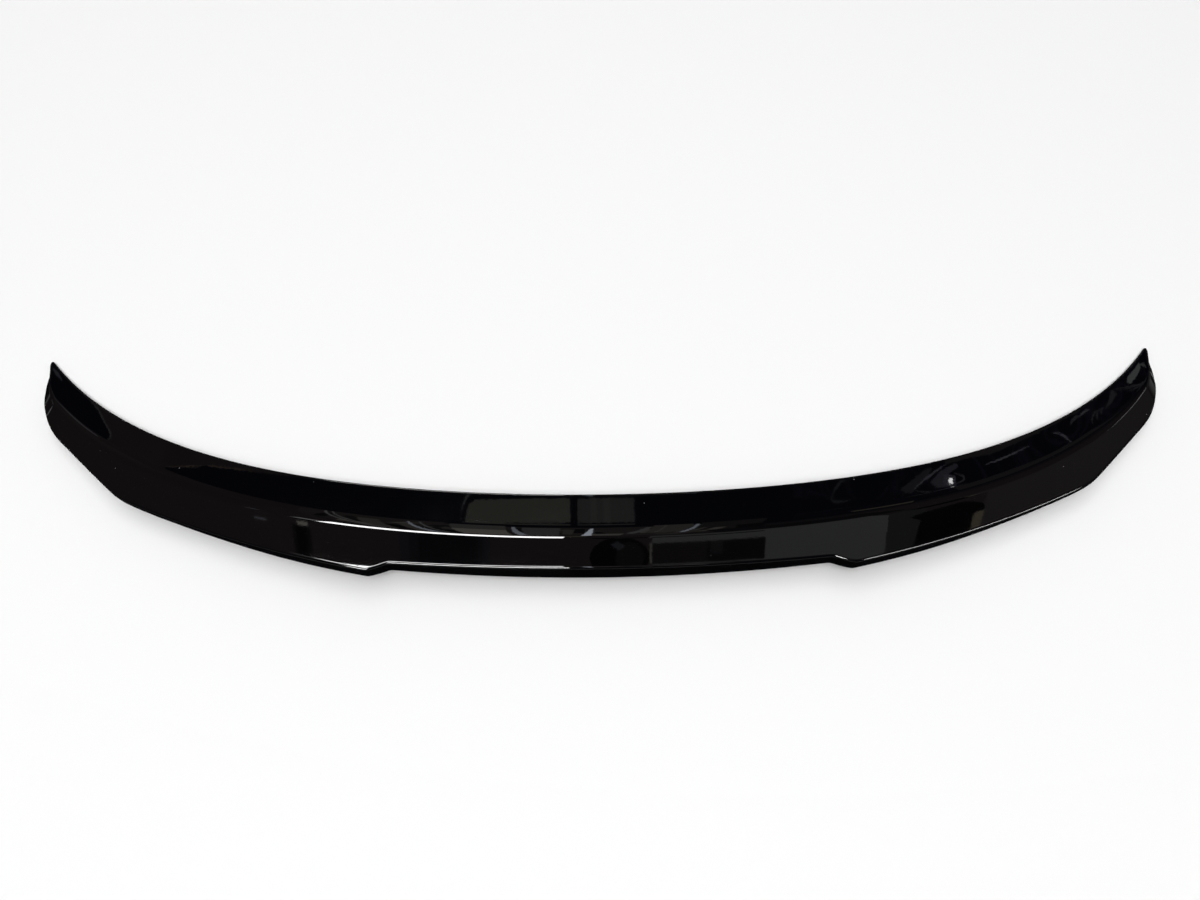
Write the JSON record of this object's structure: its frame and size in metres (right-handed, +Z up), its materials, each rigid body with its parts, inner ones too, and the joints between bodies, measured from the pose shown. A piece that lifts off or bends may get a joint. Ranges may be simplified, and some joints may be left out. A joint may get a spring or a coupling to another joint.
{
  "type": "car rear spoiler",
  "caption": "Gloss black moulded lip spoiler for a car's boot lid: swept pointed ends, raised trailing edge with a notched middle, hollow ribbed underside.",
  "frame": {"origin": "middle of the bounding box, on the surface that the part rests on", "axes": "+X to the right along the width, +Y towards the front of the car, +Z up; the trailing edge faces -Y"},
  "size_m": [1.102, 0.2394, 0.0458],
  "materials": {
    "gloss_black": "piano black gloss, as painted or polished ABS"
  },
  "bodies": {
    "root": {"spoiler": "gloss_black"}
  },
  "joints": []
}
